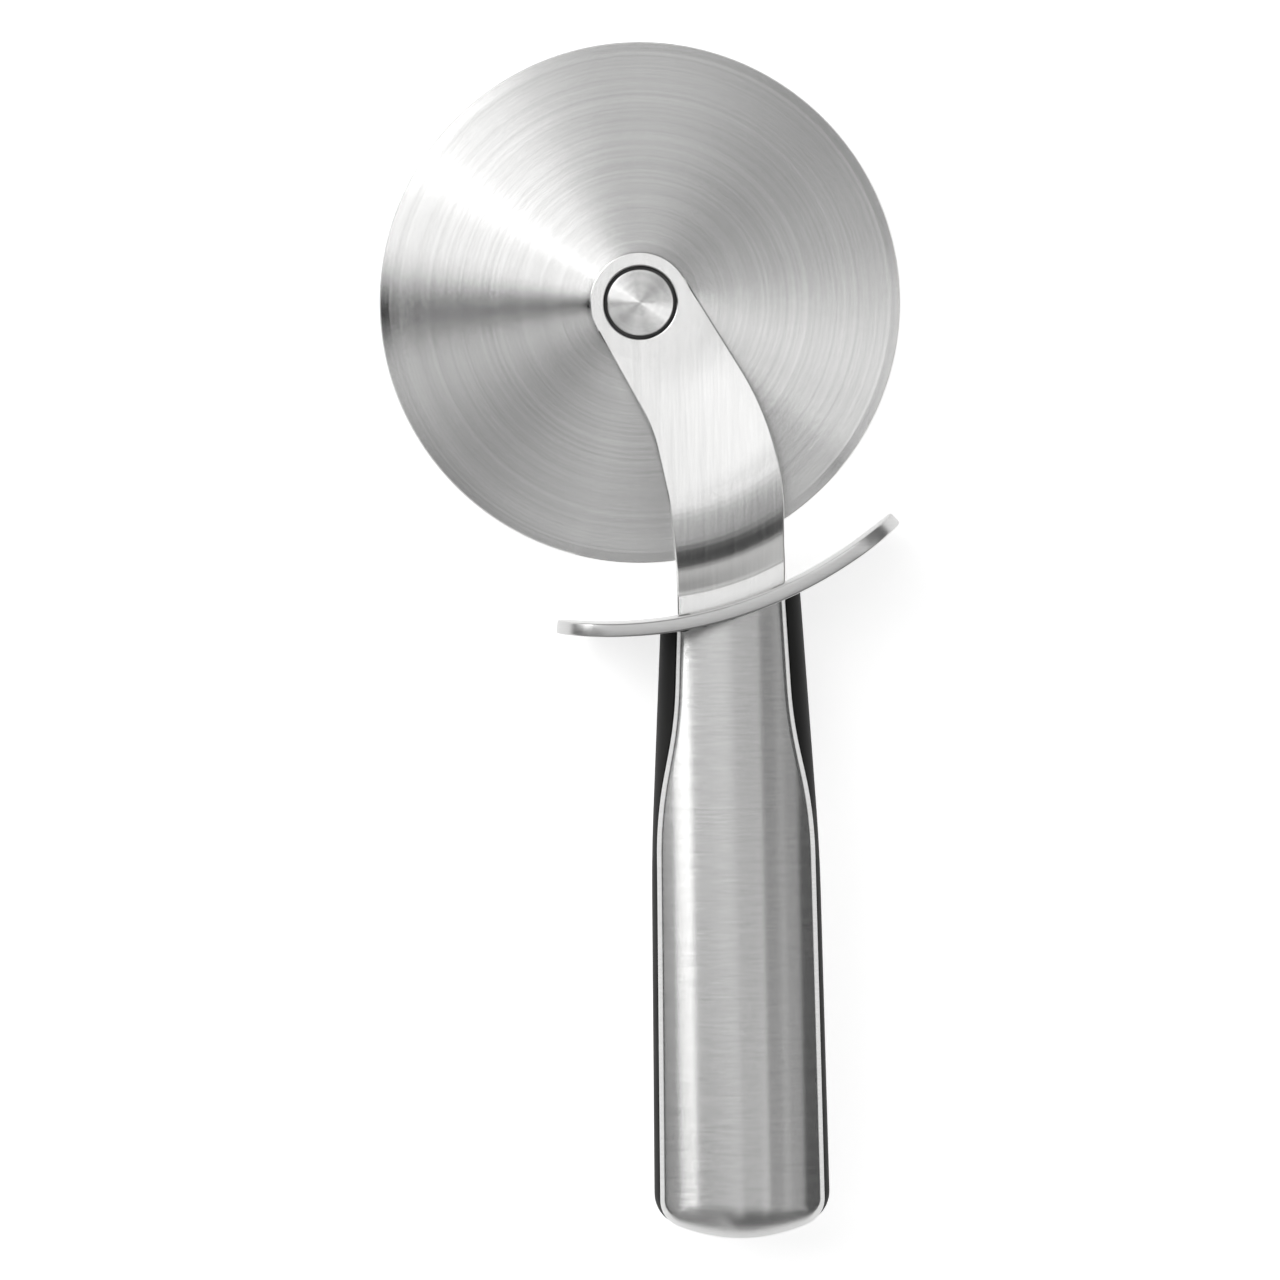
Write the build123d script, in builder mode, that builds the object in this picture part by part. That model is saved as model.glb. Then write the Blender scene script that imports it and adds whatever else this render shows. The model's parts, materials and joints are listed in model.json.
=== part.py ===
from build123d import *
import math
import os

os.makedirs("parts", exist_ok=True)

# All sizes are millimetres. The cutter lies on its back on a table: +X to the right,
# +Y along the handle towards the wheel, +Z up. The table is z = 0 and x = 0 is the wheel's axis.
# Heights are measured from the blade's middle plane, and reaches from the wheel's axis
# towards the handle's end.

# Blade
blade_radius = 50.8
blade_thickness = 1.0
bevel_width = 1.9
edge_thickness = 0.12

# Hub
shank_radius = 3.0
bushing_wall = 1.45
running_gap = 0.05
end_float = 0.1
side_gap = 0.3
washer_radius = 7.6
pin_head_radius = 6.35
pin_head_proud = 0.3
counterbore_radius = 7.1
counterbore_depth = 1.6
pin_head_chamfer = 0.3
cap_radius = 6.6
cap_thickness = 1.9
cap_chamfer = 0.6
pin_tip_proud = 0.35
pin_tip_chamfer = 0.3

# Neck arm, a bent plate that passes in front of the blade
arm_thickness = 3.0
arm_width = 21.1
pad_radius = 9.9
pad_rise = 4.7
pad_reach = 16.2
bow_angle = 7.0
drop_angle = 34.0
bow_bend = 14.0
pad_bend = 9.0
heel_bend = 2.0
heel_length = 6.7
heel_rise = 2.0
outer_sweep_radius = 55.0
outer_sweep_reach = 41.5
knee_across = 1.9
knee_reach = 24.5
knee_bend = 30.0
shoulder_reach = 44.5
shoulder_bend = 110.0
tang_width = 16.0
tang_depth = 60.0

# Finger guard, an arc of plate on edge between the wheel and the handle
guard_thickness = 2.6
guard_depth = 24.0
guard_radius = 85.3
guard_gap = 13.2
guard_turn_angle = 16.7
guard_half_angle = 24.4
guard_corner = 10.0

# Handle
handle_length = 118.9
handle_offset = 16.7
shell_wall = 0.9
crown_rise = 12.0
crown_radius = 24.6
crown_half_angle = 60.0
belly_share = 0.6274
neck_drop = 2.45
shell_seam = 3.5
shell_roll = 4.2
neck_half_width = 11.66
neck_length = 17.5
neck_slope_angle = 2.6
palm_half_width = 15.37
flare_length = 18.6
flare_bend = 85.0
tail_half_width = 16.1
tail_radius = 33.0
tail_corner = 5.6
grip_neck_half_width = 12.1
grip_palm_half_width = 16.4
grip_palm_lag = 7.3
grip_tail_half_width = 17.15
grip_bend = 350.0
grip_tail_inset = 0.1
grip_tail_corner = 6.5
grip_rise = 6.0
grip_round = 5.5
grip_wall = 1.5

# Fits between pieces that are fixed to each other
seat_gap = 0.1
pin_radius = 2.0
pin_rise = 7.5
first_pin_gap = 18.0
pin_pitch = 28.0

# Places worked out from the sizes above: the guard stands clear of the blade's rim, and the
# arm's bends and the handle follow the guard
guard_reach = blade_radius + guard_gap
handle_reach = guard_reach + handle_length
crease_reach = guard_reach - heel_length
first_pin_reach = guard_reach + first_pin_gap
hub_y = (handle_reach - blade_radius) / 2
mid_z = guard_depth / 2
hub_axis = Axis((0, hub_y, mid_z), (0, 0, 1))
hub_section = Plane(origin=(0, hub_y, mid_z), x_dir=(1, 0, 0), z_dir=(0, -1, 0))
guard_centre_back = guard_radius - guard_reach
guard_centre = (
    -guard_centre_back * math.sin(math.radians(guard_turn_angle)),
    guard_centre_back * math.cos(math.radians(guard_turn_angle)),
)


def level(height, across=0.0):
    """A plan view plane at a height over the blade, with its origin on the wheel's axis."""
    return Plane(origin=(across, hub_y, mid_z + height))


# Cutting blade: a flat disc ground to an edge from both sides
bushing_radius = shank_radius + running_gap + bushing_wall
blade_half = blade_thickness / 2

with BuildPart() as cutting_blade:
    with BuildSketch(hub_section):
        with BuildLine():
            Polyline(
                (bushing_radius, -blade_half),
                (blade_radius - bevel_width, -blade_half),
                (blade_radius, -edge_thickness / 2),
                (blade_radius, edge_thickness / 2),
                (blade_radius - bevel_width, blade_half),
                (bushing_radius, blade_half),
                close=True,
            )
        make_face()
    revolve(axis=hub_axis)

# Hub bushing: pressed into the blade, it turns on the pin and holds the blade off both sides
pad_rear = pad_rise - arm_thickness
bushing_half = pad_rear - end_float

with BuildPart() as blade_bushing:
    with BuildSketch(level(-bushing_half)):
        Circle(bushing_radius)
        Circle(shank_radius + running_gap, mode=Mode.SUBTRACT)
    extrude(amount=2 * bushing_half)


def thrust_washer(low, high):
    """A flat ring round the bushing, between two heights over the blade's middle plane."""
    with BuildPart() as washer:
        with BuildSketch(level(low)):
            Circle(washer_radius)
            Circle(bushing_radius + side_gap, mode=Mode.SUBTRACT)
        extrude(amount=high - low)
    return washer.part


front_thrust_washer = thrust_washer(blade_half + end_float, pad_rear)
rear_thrust_washer = thrust_washer(-pad_rear, -blade_half - end_float)

# Axle pin: its broad head sits in the arm's counterbore and its tip is riveted in the rear cap
head_seat = pad_rise - counterbore_depth
head_top = pad_rise + pin_head_proud
tip_low = -pad_rear - cap_thickness - pin_tip_proud

with BuildPart() as axle_pin:
    with BuildSketch(level(head_seat)):
        Circle(pin_head_radius)
    extrude(amount=head_top - head_seat)
    chamfer(axle_pin.edges().sort_by(Axis.Z)[-1], pin_head_chamfer)
    with BuildSketch(level(tip_low)):
        Circle(shank_radius)
    extrude(amount=head_seat - tip_low)
    chamfer(axle_pin.edges().sort_by(Axis.Z)[0], pin_tip_chamfer)

with BuildPart() as axle_rear_cap:
    with BuildSketch(level(-pad_rear - cap_thickness)):
        Circle(cap_radius)
    extrude(amount=cap_thickness)
    chamfer(axle_rear_cap.edges().sort_by(Axis.Z)[0], cap_chamfer)
    with BuildSketch(level(-pad_rear - cap_thickness)):
        Circle(shank_radius + running_gap)
    extrude(amount=cap_thickness, mode=Mode.SUBTRACT)

# Neck arm: its section is turned about the wheel's axis, so that every bend follows the
# blade's rim, and is then cut to the curved outline seen from the front
bow_rise = math.tan(math.radians(bow_angle))
drop_rise = math.tan(math.radians(drop_angle))
knuckle_reach = (heel_rise - pad_rise + drop_rise * crease_reach + bow_rise * pad_reach) / (
    bow_rise + drop_rise
)
knuckle_rise = pad_rise + bow_rise * (knuckle_reach - pad_reach)
arm_limit = guard_reach + guard_centre_back
inner_guard_radius = guard_radius - guard_thickness
pin_reaches = [first_pin_reach, first_pin_reach + pin_pitch]
arm_half = arm_width / 2
arm_left = handle_offset - arm_half
arm_right = handle_offset + arm_half


def bent_back(points, amount):
    """The corners of the same bent line, moved down by a plate's thickness."""
    turns = [
        math.atan2(after[1] - before[1], after[0] - before[0])
        for before, after in zip(points, points[1:])
    ]
    normals = [turns[0]] + [(a + b) / 2 for a, b in zip(turns, turns[1:])] + [turns[-1]]
    spreads = [0.0] + [(b - a) / 2 for a, b in zip(turns, turns[1:])] + [0.0]
    return [
        (
            x + amount / math.cos(half) * math.sin(lean),
            y - amount / math.cos(half) * math.cos(lean),
        )
        for (x, y), lean, half in zip(points, normals, spreads)
    ]


front_line = [
    (0, pad_rise),
    (pad_reach, pad_rise),
    (knuckle_reach, knuckle_rise),
    (crease_reach, heel_rise),
    (arm_limit, heel_rise),
]
rear_line = bent_back(front_line, arm_thickness)
front_bends = [pad_bend, bow_bend, heel_bend]
rear_bends = [pad_bend + arm_thickness, bow_bend - arm_thickness, heel_bend + arm_thickness]


def touch_point(centre, radius, point, side):
    """Where a straight line from a point touches a circle; side picks one of the two."""
    away = math.atan2(point[1] - centre[1], point[0] - centre[0])
    spread = math.acos(radius / math.dist(centre, point))
    angle = away + side * spread
    return (centre[0] + radius * math.cos(angle), centre[1] + radius * math.sin(angle))


# The outer edge is a straight line that touches the pad's circle and the sweep's circle
sweep_centre = (arm_right - outer_sweep_radius, -outer_sweep_reach)
sweep_lean = math.atan2(outer_sweep_reach, -sweep_centre[0])
sweep_spread = math.acos(
    (outer_sweep_radius - pad_radius) / math.hypot(sweep_centre[0], outer_sweep_reach)
)
outer_angle = sweep_lean - sweep_spread
outer_touch = (pad_radius * math.cos(outer_angle), pad_radius * math.sin(outer_angle))
sweep_start = (
    sweep_centre[0] + outer_sweep_radius * math.cos(outer_angle),
    sweep_centre[1] + outer_sweep_radius * math.sin(outer_angle),
)
knee = (knee_across, -knee_reach)
inner_touch = touch_point((0, 0), pad_radius, knee, -1)

with BuildPart() as neck_arm:
    with BuildSketch(hub_section):
        with BuildLine():
            FilletPolyline(*front_line, radius=front_bends)
            FilletPolyline(*rear_line, radius=rear_bends)
            Line(front_line[0], rear_line[0])
            Line(front_line[-1], rear_line[-1])
        make_face()
    revolve(axis=hub_axis)
    with BuildSketch(level(-guard_depth)) as arm_plan:
        with BuildLine():
            ThreePointArc(inner_touch, (0, pad_radius), outer_touch)
            Line(outer_touch, sweep_start)
            RadiusArc(sweep_start, (arm_right, -outer_sweep_reach), outer_sweep_radius)
            Line((arm_right, -outer_sweep_reach), (arm_right, -guard_radius))
            Line((arm_right, -guard_radius), (arm_left, -guard_radius))
            FilletPolyline(
                (arm_left, -guard_radius),
                (arm_left, -shoulder_reach),
                knee,
                inner_touch,
                radius=[shoulder_bend, knee_bend],
            )
        make_face()
        with Locations(guard_centre):
            Circle(inner_guard_radius - seat_gap / 2, mode=Mode.INTERSECT)
    extrude(amount=2 * guard_depth, mode=Mode.INTERSECT)
    # The tang runs on from the arm's flat heel, through the guard and into the handle
    with BuildSketch(level(heel_rise - arm_thickness)):
        with Locations((handle_offset, -crease_reach - tang_depth / 2)):
            Rectangle(tang_width, tang_depth + 2 * tang_width)
        with Locations((handle_offset, -crease_reach - tang_depth - tang_width)):
            Rectangle(2 * tang_width, 2 * tang_width, mode=Mode.SUBTRACT)
        Circle(crease_reach + heel_bend, mode=Mode.SUBTRACT)
    extrude(amount=arm_thickness)
    with BuildSketch(level(head_seat)):
        Circle(counterbore_radius)
    extrude(amount=arm_thickness, mode=Mode.SUBTRACT)
    with BuildSketch(level(pad_rear)):
        Circle(shank_radius + running_gap)
    extrude(amount=arm_thickness, mode=Mode.SUBTRACT)
    with BuildSketch(level(heel_rise - arm_thickness)):
        with Locations(*[(handle_offset, -reach) for reach in pin_reaches]):
            Circle(pin_radius + seat_gap / 2)
    extrude(amount=arm_thickness, mode=Mode.SUBTRACT)

# Finger guard: an arc of plate on edge, with rounded corners and a slot for the arm's tang
guard_start = guard_turn_angle - guard_half_angle - 90

with BuildPart() as finger_guard:
    with BuildSketch(level(-guard_depth / 2)):
        with BuildLine():
            outer_arc = CenterArc(guard_centre, guard_radius, guard_start, 2 * guard_half_angle)
            inner_arc = CenterArc(guard_centre, inner_guard_radius, guard_start, 2 * guard_half_angle)
            Line(outer_arc @ 0, inner_arc @ 0)
            Line(outer_arc @ 1, inner_arc @ 1)
        make_face()
    extrude(amount=guard_depth)
    end_faces = finger_guard.faces().filter_by(GeomType.PLANE).filter_by(Axis.Z, reverse=True)
    corners = end_faces.edges().filter_by(Axis.Z, reverse=True)
    fillet(corners, guard_corner)
    with BuildSketch(level(heel_rise - arm_thickness - seat_gap)):
        with Locations((handle_offset, -guard_radius)):
            Rectangle(tang_width + 2 * seat_gap, 2 * guard_radius)
    extrude(amount=arm_thickness + 2 * seat_gap, mode=Mode.SUBTRACT)


def tail_side_reach(half_width, end_reach):
    """How far along the handle its side meets the round of the tail."""
    return end_reach - tail_radius + math.sqrt(tail_radius**2 - half_width**2)


def outline(corners, bends, end_reach, corner_round, inset):
    """A handle outline in plan, drawn in all round by an inset."""
    with BuildSketch() as plan:
        with BuildLine():
            right = FilletPolyline(*[(x, -y) for x, y in corners], radius=bends)
            left = FilletPolyline(*[(-x, -y) for x, y in corners], radius=bends)
            Line(right @ 0, left @ 0)
            ThreePointArc(right @ 1, (0, -end_reach), left @ 1)
        make_face()
        tail = plan.vertices().sort_by(Axis.Y)[:2]
        fillet(tail, corner_round)
        if inset != 0:
            offset(amount=-inset, kind=Kind.INTERSECTION)
    return plan.sketch


# The shells widen from a slim neck to the palm; both bends of that flare have to fit its length
top_reach = guard_reach / 2
neck_reach = guard_reach + neck_length
palm_reach = neck_reach + flare_length
side_reach = tail_side_reach(tail_half_width, handle_reach)
neck_lean = math.radians(neck_slope_angle)
neck_top_half = neck_half_width - math.tan(neck_lean) * (neck_reach - top_reach)
flare_lean = math.atan2(palm_half_width - neck_half_width, flare_length)
palm_lean = math.atan2(tail_half_width - palm_half_width, side_reach - palm_reach)
flare_turns = math.tan((flare_lean - neck_lean) / 2) + math.tan((flare_lean - palm_lean) / 2)
widest_bend = flare_length / flare_turns
shell_bend = min(flare_bend, widest_bend)
shell_corners = [
    (neck_top_half, top_reach),
    (neck_half_width, neck_reach),
    (palm_half_width, palm_reach),
    (tail_half_width, side_reach),
]


def shell_outline(inset):
    """The outline of the steel shells, drawn in by an inset."""
    return outline(shell_corners, [shell_bend, shell_bend], handle_reach, tail_corner, inset)


grip_reach = handle_reach - grip_tail_inset
grip_corners = [
    (grip_neck_half_width, top_reach),
    (grip_palm_half_width, palm_reach + grip_palm_lag),
    (grip_tail_half_width, tail_side_reach(grip_tail_half_width, grip_reach)),
]

# The crown of a shell is an arc across the handle, turned about a far axis along it. It is
# highest at the belly and has dropped a little where it meets the guard
belly_span = belly_share * handle_length
belly_reach = guard_reach + belly_span
belly_radius = (belly_span**2 + neck_drop**2) / (2 * neck_drop)
crown_turn = math.degrees(math.asin(handle_reach / 2 / belly_radius))
crown_axis_y = hub_y - belly_reach
crown_axis_z = mid_z + crown_rise - belly_radius
crown_axis = Axis((handle_offset, crown_axis_y, crown_axis_z), (1, 0, 0))
crown_section = Plane(
    origin=(handle_offset, crown_axis_y, crown_axis_z),
    x_dir=(1, 0, 0),
    z_dir=(0, -math.cos(math.radians(crown_turn)), math.sin(math.radians(crown_turn))),
)


def filled_side(wall_inset, crown_inset):
    """One side of the handle, filled, with its walls and its crown drawn in."""
    with BuildPart() as side:
        with BuildSketch(level(shell_seam, handle_offset)):
            add(shell_outline(wall_inset))
        extrude(amount=crown_rise)
        with BuildSketch(crown_section):
            with BuildLine():
                arc = CenterArc(
                    (0, belly_radius - crown_radius),
                    crown_radius - crown_inset,
                    90 - crown_half_angle,
                    2 * crown_half_angle,
                )
                Polyline(
                    arc @ 0,
                    ((arc @ 0).X, belly_radius - crown_radius),
                    ((arc @ 1).X, belly_radius - crown_radius),
                    arc @ 1,
                )
            make_face()
        revolve(axis=crown_axis, revolution_arc=2 * crown_turn, mode=Mode.INTERSECT)
    return side.part


def crown_edges(side):
    """The edges where a filled side's crown meets its walls, but for the neck end's."""
    return side.faces().sort_by(Axis.Z)[-1].edges().sort_by(Axis.Y)[:-1]


# What the handle's top end is cut to, so that it butts against the guard
with BuildPart() as guard_room:
    with BuildSketch(level(-guard_depth)):
        with Locations(guard_centre):
            Circle(guard_radius + seat_gap)
    extrude(amount=2 * guard_depth)

# Steel shells: two equal pressings, one for each side of the handle
with BuildPart() as shell_room:
    add(filled_side(shell_wall, shell_wall))
    fillet(crown_edges(shell_room), shell_roll - shell_wall)

with BuildPart() as front_shell:
    add(filled_side(0, 0))
    fillet(crown_edges(front_shell), shell_roll)
    add(shell_room.part, mode=Mode.SUBTRACT)
    add(guard_room.part, mode=Mode.SUBTRACT)

with BuildPart() as back_shell:
    add(front_shell.part)
    mirror(about=level(0), mode=Mode.REPLACE)

# Handle core: two halves that fill the shells and clamp the arm's tang and the grip
core_inset = shell_wall + seat_gap
tang_mid = heel_rise - arm_thickness / 2

with BuildPart() as core_side:
    add(filled_side(shell_roll, core_inset))
    add(guard_room.part, mode=Mode.SUBTRACT)

with BuildPart() as core_slab:
    with BuildSketch(level(-shell_seam, handle_offset)):
        add(shell_outline(core_inset + grip_wall))
    extrude(amount=2 * shell_seam)
    add(guard_room.part, mode=Mode.SUBTRACT)

with BuildPart() as tang_room:
    with BuildSketch(level(heel_rise - arm_thickness)):
        with Locations((handle_offset, -guard_reach)):
            Rectangle(tang_width + 2 * seat_gap, 2 * (crease_reach + tang_depth + seat_gap - guard_reach))
    extrude(amount=arm_thickness)
    with BuildSketch(level(-pin_rise)):
        with Locations(*[(handle_offset, -reach) for reach in pin_reaches]):
            Circle(pin_radius + seat_gap / 2)
    extrude(amount=2 * pin_rise)

with BuildPart() as handle_core_front:
    add(core_side.part)
    add(core_slab.part)
    split(bisect_by=level(tang_mid), keep=Keep.TOP)
    add(tang_room.part, mode=Mode.SUBTRACT)

with BuildPart() as handle_core_back:
    add(core_side.part)
    mirror(about=level(0), mode=Mode.REPLACE)
    add(core_slab.part)
    split(bisect_by=level(tang_mid), keep=Keep.BOTTOM)
    add(tang_room.part, mode=Mode.SUBTRACT)

# Side grip: one soft band round both sides and the tail, held between the core's halves
with BuildPart() as side_grip:
    with BuildSketch(level(-grip_rise, handle_offset)):
        add(outline(grip_corners, [grip_bend], grip_reach, grip_tail_corner, 0))
    extrude(amount=2 * grip_rise)
    for flat in side_grip.faces().filter_by(Axis.Z):
        fillet(flat.edges().sort_by(Axis.Y)[:-1], grip_round)
    for low in (shell_seam, -shell_seam - grip_rise):
        with BuildSketch(level(low, handle_offset)):
            add(shell_outline(-seat_gap))
        extrude(amount=grip_rise, mode=Mode.SUBTRACT)
    add(core_slab.part, mode=Mode.SUBTRACT)
    add(guard_room.part, mode=Mode.SUBTRACT)

# Tang pins: they cross the tang and both core halves, under the shells
with BuildPart() as tang_pins:
    with BuildSketch(level(-pin_rise)):
        with Locations(*[(handle_offset, -reach) for reach in pin_reaches]):
            Circle(pin_radius)
    extrude(amount=2 * pin_rise)
    chamfer(tang_pins.edges().filter_by(GeomType.CIRCLE), pin_tip_chamfer)

pieces = {
    "cutting_blade": cutting_blade.part,
    "blade_bushing": blade_bushing.part,
    "front_thrust_washer": front_thrust_washer,
    "rear_thrust_washer": rear_thrust_washer,
    "axle_pin": axle_pin.part,
    "axle_rear_cap": axle_rear_cap.part,
    "neck_arm": neck_arm.part,
    "finger_guard": finger_guard.part,
    "front_shell": front_shell.part,
    "back_shell": back_shell.part,
    "handle_core_front": handle_core_front.part,
    "handle_core_back": handle_core_back.part,
    "side_grip": side_grip.part,
    "tang_pins": tang_pins.part,
}
for name, piece in pieces.items():
    piece.label = name
    export_step(piece, f"parts/{name}.step")
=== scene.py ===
"""Looks of a pizza cutter that lies on its back on a pale table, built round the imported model."""

import json
import logging
from abc import ABC, abstractmethod
from dataclasses import dataclass
from enum import Enum
from math import acos, atan, atan2, cos, degrees, dist, hypot, log, pi, radians, sin, sqrt, tan
from typing import Callable, ClassVar, Iterable, Sequence

import bmesh
import bpy
from mathutils import Matrix, Vector

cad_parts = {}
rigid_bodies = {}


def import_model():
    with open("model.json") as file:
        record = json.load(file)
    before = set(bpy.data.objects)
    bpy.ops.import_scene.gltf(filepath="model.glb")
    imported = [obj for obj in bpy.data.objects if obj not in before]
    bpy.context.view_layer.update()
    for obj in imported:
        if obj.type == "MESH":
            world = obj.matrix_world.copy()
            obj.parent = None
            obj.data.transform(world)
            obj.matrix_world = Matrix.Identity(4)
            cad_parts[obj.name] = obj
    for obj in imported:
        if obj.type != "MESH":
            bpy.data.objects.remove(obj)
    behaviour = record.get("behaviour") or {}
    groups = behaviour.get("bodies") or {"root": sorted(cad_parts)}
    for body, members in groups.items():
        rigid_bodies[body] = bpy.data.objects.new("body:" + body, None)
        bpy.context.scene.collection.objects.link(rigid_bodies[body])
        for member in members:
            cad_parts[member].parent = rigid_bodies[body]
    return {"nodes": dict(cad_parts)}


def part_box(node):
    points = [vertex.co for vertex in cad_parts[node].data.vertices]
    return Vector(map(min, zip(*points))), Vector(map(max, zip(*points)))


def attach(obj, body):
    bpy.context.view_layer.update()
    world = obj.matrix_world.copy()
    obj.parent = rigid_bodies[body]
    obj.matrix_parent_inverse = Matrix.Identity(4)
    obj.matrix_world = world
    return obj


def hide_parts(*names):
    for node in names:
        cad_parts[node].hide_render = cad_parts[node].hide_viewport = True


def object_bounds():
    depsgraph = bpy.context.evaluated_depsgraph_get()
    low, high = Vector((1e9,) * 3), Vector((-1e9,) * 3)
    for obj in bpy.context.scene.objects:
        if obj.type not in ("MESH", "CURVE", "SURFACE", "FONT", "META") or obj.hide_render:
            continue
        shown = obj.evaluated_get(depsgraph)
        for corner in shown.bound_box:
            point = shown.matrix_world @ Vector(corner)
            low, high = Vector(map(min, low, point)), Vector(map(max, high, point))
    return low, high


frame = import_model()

CAD_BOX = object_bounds()
LOG = logging.getLogger("cutter")
MM = 0.001
HANDLE_OFFSET = 16.7
GUARD_CENTRE = (-6.12, 20.4)
WHITE = (1.0, 1.0, 1.0)
GRID_SMOOTHING = 30.0
PLATE_SMOOTHING = 32.0
SHELL_SMOOTHING = 40.0
CHAMFER_STEPS = 3
Point = tuple[float, float]
Triple = tuple[float, float, float]
Line = list[Point]
Object = bpy.types.Object
Material = bpy.types.Material
Socket = bpy.types.NodeSocket
BMesh = bmesh.types.BMesh
Row = list[bmesh.types.BMVert]


class Body(Enum):
    """The two bodies of the cutter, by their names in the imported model."""

    FRAME = "frame"
    WHEEL = "wheel"


class Grain(Enum):
    """Which way the brushing of a steel surface runs."""

    ROUND = "round"
    ACROSS = "across"
    ALONG = "along"


def centre_of(node: str) -> Vector:
    """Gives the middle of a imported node's box, in metres."""
    low, high = (Vector(corner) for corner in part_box(node))
    return (low + high) / 2


HUB = centre_of("cutting_blade")


def from_hub(x: float, y: float, z: float) -> Triple:
    """Turns millimetres from the hub's centre into metres in the scene."""
    return (HUB.x + x * MM, HUB.y + y * MM, HUB.z + z * MM)


def activate(obj: Object | None) -> None:
    """Makes one object the only selected and active one, or none."""
    for other in bpy.context.view_layer.objects:
        other.select_set(other == obj)
    bpy.context.view_layer.objects.active = obj


def edit_all(obj: Object, *steps: Callable[[], object]) -> None:
    """Selects all of an object's mesh in edit mode and runs operators on it.

    Args:
        obj: The object to work on.
        steps: The operators, in order.
    """
    activate(obj)
    bpy.ops.object.mode_set(mode="EDIT")
    bpy.ops.mesh.select_all(action="SELECT")
    for step in steps:
        step()
    bpy.ops.object.mode_set(mode="OBJECT")


def mesh_object(name: str, points: Sequence[Sequence[float]], edges: Sequence[Sequence[int]] = (),
                faces: Sequence[Sequence[int]] = ()) -> Object:
    """Makes a linked object from points in metres.

    Args:
        name: The name of the piece.
        points: Vertex places.
        edges: Vertex index pairs.
        faces: Vertex index loops.

    Returns:
        The new object, selected and active.
    """
    mesh = bpy.data.meshes.new(name)
    mesh.from_pydata([tuple(p) for p in points], [tuple(e) for e in edges], [tuple(f) for f in faces])
    obj = bpy.data.objects.new(name, mesh)
    bpy.context.scene.collection.objects.link(obj)
    activate(obj)
    return obj


def object_from(mesh: BMesh, name: str) -> Object:
    """Turns a bmesh into a linked object and frees it.

    Args:
        mesh: The finished bmesh.
        name: The name of the piece.

    Returns:
        The new object, selected and active.
    """
    obj = mesh_object(name, [])
    mesh.to_mesh(obj.data)
    mesh.free()
    return obj


def add_modifier(obj: Object, kind: str, **settings: object) -> None:
    """Adds a modifier with its settings and applies it.

    Args:
        obj: The object that gets it.
        kind: Blender's name of the modifier type.
        settings: Attributes to set on it.
    """
    activate(obj)
    modifier = obj.modifiers.new(kind.lower(), kind)
    for key, value in settings.items():
        setattr(modifier, key, value)
    bpy.ops.object.modifier_apply(modifier=modifier.name)


def smooth(angle: float) -> None:
    """Smooths the active object where its faces meet below an angle in degrees."""
    bpy.ops.object.shade_smooth_by_angle(angle=radians(angle))


def finish_mesh(obj: Object, angle: float, merge: float = 0.0001) -> None:
    """Merges doubles, turns the faces outwards and smooths below an angle.

    Args:
        obj: The object to finish.
        angle: Largest edge angle in degrees that is still shaded smooth.
        merge: Distance in millimetres below which vertices become one.
    """
    edit_all(obj, lambda: bpy.ops.mesh.remove_doubles(threshold=merge * MM),
             lambda: bpy.ops.mesh.normals_make_consistent(inside=False))
    smooth(angle)


def bridge(mesh: BMesh, first: Row, second: Row, closed: bool = False) -> None:
    """Joins two rows of vertices of one length by faces.

    Args:
        mesh: The bmesh that holds them.
        first: One row.
        second: The other row, in the same order.
        closed: Whether the rows are rings.
    """
    for i in range(len(first) if closed else len(first) - 1):
        j = (i + 1) % len(first)
        mesh.faces.new((first[i], first[j], second[j], second[i]))


def prism(name: str, outline: Line, low: float, high: float) -> Object:
    """Makes an upright solid from an outline, in millimetres from the hub.

    Args:
        name: The name of the piece.
        outline: Corners in plan, anticlockwise seen from above.
        low: Height of its floor.
        high: Height of its top.

    Returns:
        The new object.
    """
    count = len(outline)
    points = [from_hub(x, y, z) for z in (low, high) for x, y in outline]
    sides = [(i, (i + 1) % count, count + (i + 1) % count, count + i) for i in range(count)]
    return mesh_object(name, points, (), [range(count)[::-1], range(count, 2 * count), *sides])


def join_or_cut(obj: Object, tool: Object, operation: str) -> None:
    """Joins a closed solid to a plate, or cuts it away, and removes the solid.

    Args:
        obj: The plate that changes.
        tool: The solid that is joined or cut away.
        operation: UNION or DIFFERENCE.
    """
    add_modifier(obj, "BOOLEAN", operation=operation, object=tool, solver="EXACT")
    bpy.data.objects.remove(tool)
    smooth(PLATE_SMOOTHING)


def arc(centre: Point, radius: float, start: float, stop: float, count: int) -> Line:
    """Gives points along an arc from one angle to another, in so many steps and with both its ends."""
    turns = [start + (stop - start) * i / count for i in range(count + 1)]
    return [(centre[0] + radius * cos(turn), centre[1] + radius * sin(turn)) for turn in turns]


def round_corners(points: Line, radii: Sequence[float], step: float) -> Line:
    """Rounds the inner corners of an open chain of points.

    Args:
        points: Corner points of the chain.
        radii: One radius for each inner corner.
        step: Turn between neighbouring points of a round, in degrees.

    Returns:
        The chain with its rounds as short steps.
    """
    chain = [points[0]]
    for before, corner, after, radius in zip(points, points[1:], points[2:], radii):
        into = (Vector(before) - Vector(corner)).normalized()
        out = (Vector(after) - Vector(corner)).normalized()
        half = into.angle(out) / 2
        turn = pi - 2 * half
        centre = Vector(corner) + (into + out).normalized() * radius / sin(half)
        start = Vector(corner) + into * radius / tan(half) - centre
        sign = 1.0 if into.x * out.y - into.y * out.x < 0 else -1.0
        count = max(2, round(degrees(turn) / step))
        for i in range(count + 1):
            angle = sign * turn * i / count
            chain.append((centre.x + start.x * cos(angle) - start.y * sin(angle),
                          centre.y + start.x * sin(angle) + start.y * cos(angle)))
    chain.append(points[-1])
    return chain


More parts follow.
